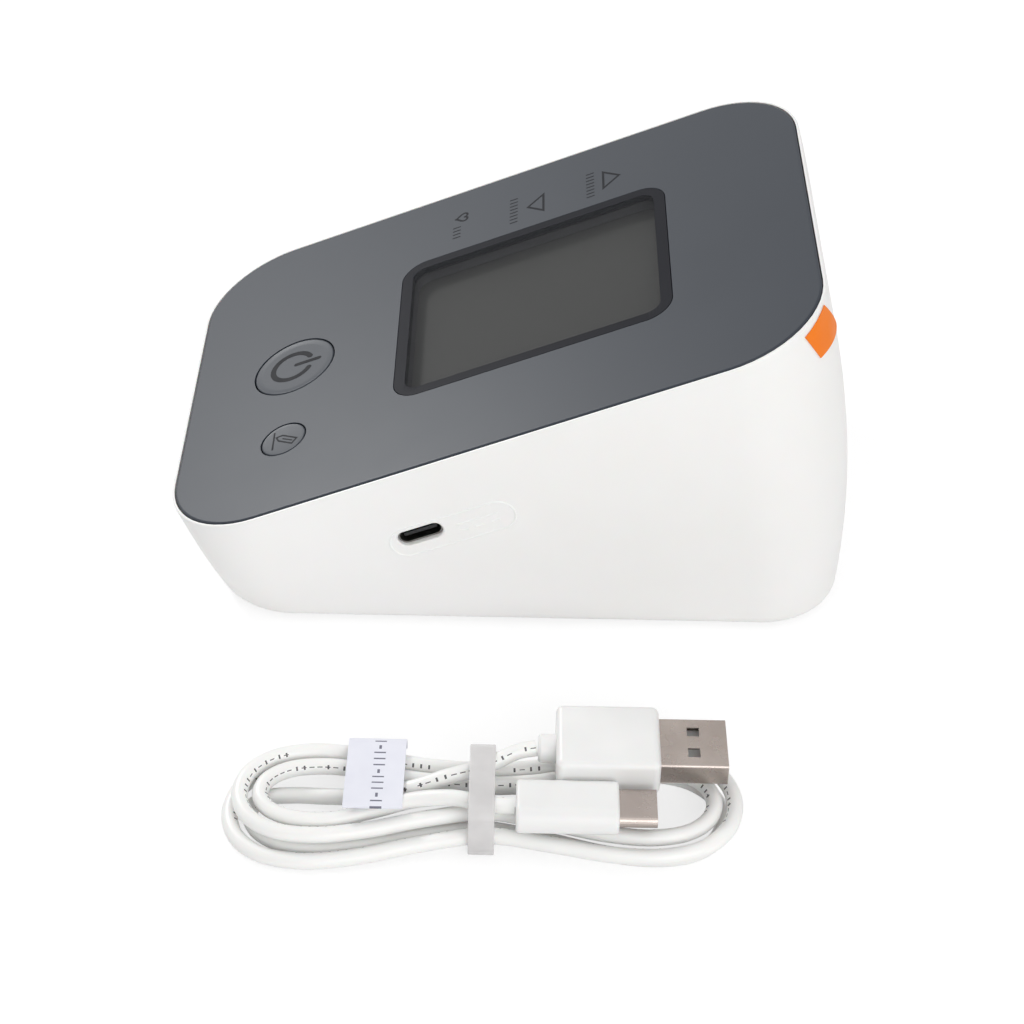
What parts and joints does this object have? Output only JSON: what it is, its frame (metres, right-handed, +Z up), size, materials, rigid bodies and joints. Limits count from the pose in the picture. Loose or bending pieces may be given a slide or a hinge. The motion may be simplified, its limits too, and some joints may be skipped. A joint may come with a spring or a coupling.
{
  "type": "blood pressure monitor",
  "caption": "Desk-top blood pressure monitor with a sloping grey face, recessed display, round power key and small memory key, beside its hanked power lead.",
  "frame": {"origin": "under the middle of the monitor, on the plane that its feet stand on", "axes": "+X to the user's right, +Y from the user's side to the raised rear, +Z up"},
  "size_m": [0.1596, 0.1332, 0.072],
  "materials": {
    "white_shell": "fine matt grain, satin white",
    "grey_face": "glossy mid grey panel",
    "grey_key": "glossy grey cap with a pale symbol",
    "smoked_window": "clear plastic display window",
    "dark_bezel": "dark grey mask round the display",
    "display_glass": "switched-off dark display glass",
    "holder_plastic": "black moulded holder",
    "soft_strip": "grey soft contact strip",
    "board_green": "green lacquered circuit board",
    "black_plastic": "black moulded plastic",
    "bright_steel": "plated steel",
    "socket_steel": "plated sheet steel",
    "silicone": "translucent white silicone",
    "foot_rubber": "grey soft foot",
    "cell_wrap": "plain dark wrapped cell",
    "orange_mark": "orange mark",
    "lead_jacket": "white flexible jacket",
    "label_paper": "plain white paper"
  },
  "bodies": {
    "case": {"lower_housing": "white_shell", "upper_frame": "white_shell", "front_panel": "grey_face", "display_window": "smoked_window", "display_bezel": "dark_bezel", "lcd_glass": "display_glass", "lcd_holder": "holder_plastic", "zebra_strip": "soft_strip", "power_switch": "black_plastic", "memory_switch": "black_plastic", "main_board": "board_green", "board_screw_1": "bright_steel", "board_screw_2": "bright_steel", "buzzer": "black_plastic", "pressure_sensor": "black_plastic", "usb_socket": "socket_steel", "usb_tongue": "black_plastic", "usb_board": "board_green", "air_connector": "silicone", "air_socket": "silicone", "pump_motor": "bright_steel", "pump_head": "black_plastic", "pump_cradle": "silicone", "release_valve": "bright_steel", "air_socket_tube": "silicone", "pump_tube": "silicone", "sensor_tube": "silicone", "valve_tube": "silicone", "battery_cell_1": "cell_wrap", "battery_cell_2": "cell_wrap", "battery_cell_3": "cell_wrap", "battery_cell_4": "cell_wrap", "battery_contacts_rear": "bright_steel", "battery_contacts_front": "bright_steel", "case_screw_1": "bright_steel", "case_screw_2": "bright_steel", "case_screw_3": "bright_steel", "case_screw_4": "bright_steel", "foot_1": "foot_rubber", "foot_2": "foot_rubber", "foot_3": "foot_rubber", "foot_4": "foot_rubber", "rating_label": "label_paper", "corner_mark": "orange_mark"},
    "power_key": {"power_button": "grey_key"},
    "power_contact": {"power_plunger": "silicone"},
    "memory_key": {"memory_button": "grey_key"},
    "memory_contact": {"memory_plunger": "silicone"},
    "battery_cover": {"battery_door": "white_shell"},
    "crank": {"pump_crank": "bright_steel"},
    "valve_stem": {"valve_plunger": "silicone"},
    "power_lead": {"lead_hank": "lead_jacket", "lead_tie": "lead_jacket", "lead_label": "label_paper", "usb_a_overmold": "lead_jacket", "usb_a_shell": "bright_steel", "usb_a_insert": "lead_jacket", "usb_c_overmold": "lead_jacket", "usb_c_shell": "bright_steel"}
  },
  "joints": [
    {"name": "power_press", "type": "slide", "parent": "case", "child": "power_key", "axis": [0, 0.3859, -0.9225], "range_m": [0, 0.0005], "stiffness_N_per_m": 800, "springref_m": -0.0005},
    {"name": "power_contact_press", "type": "slide", "parent": "case", "child": "power_contact", "axis": [0, 0.3859, -0.9225], "range_m": [0, 0.0005]},
    {"name": "memory_press", "type": "slide", "parent": "case", "child": "memory_key", "axis": [0, 0.3859, -0.9225], "range_m": [0, 0.0005], "stiffness_N_per_m": 800, "springref_m": -0.0005},
    {"name": "memory_contact_press", "type": "slide", "parent": "case", "child": "memory_contact", "axis": [0, 0.3859, -0.9225], "range_m": [0, 0.0005]},
    {"name": "battery_cover_hinge", "type": "hinge", "parent": "case", "child": "battery_cover", "pos_m": [0, 0.04389, 0.0008], "axis": [1, 0, 0], "range_deg": [0, 60]},
    {"name": "crank_spin", "type": "hinge", "parent": "case", "child": "crank", "pos_m": [0, 0.03529, 0.0351], "axis": [1, 0, 0], "continuous": true},
    {"name": "valve_close", "type": "slide", "parent": "case", "child": "valve_stem", "axis": [0, -1, 0], "range_m": [0, 0.0008], "stiffness_N_per_m": 150, "springref_m": -0.001},
    {"name": "lead_slide", "type": "slide", "parent": "case", "child": "power_lead", "axis": [1, 0, 0], "range_m": [0, 0.06]}
  ],
  "couplings": [
    {"joint": "power_contact_press", "follows": "power_press", "ratio": 1},
    {"joint": "memory_contact_press", "follows": "memory_press", "ratio": 1}
  ]
}
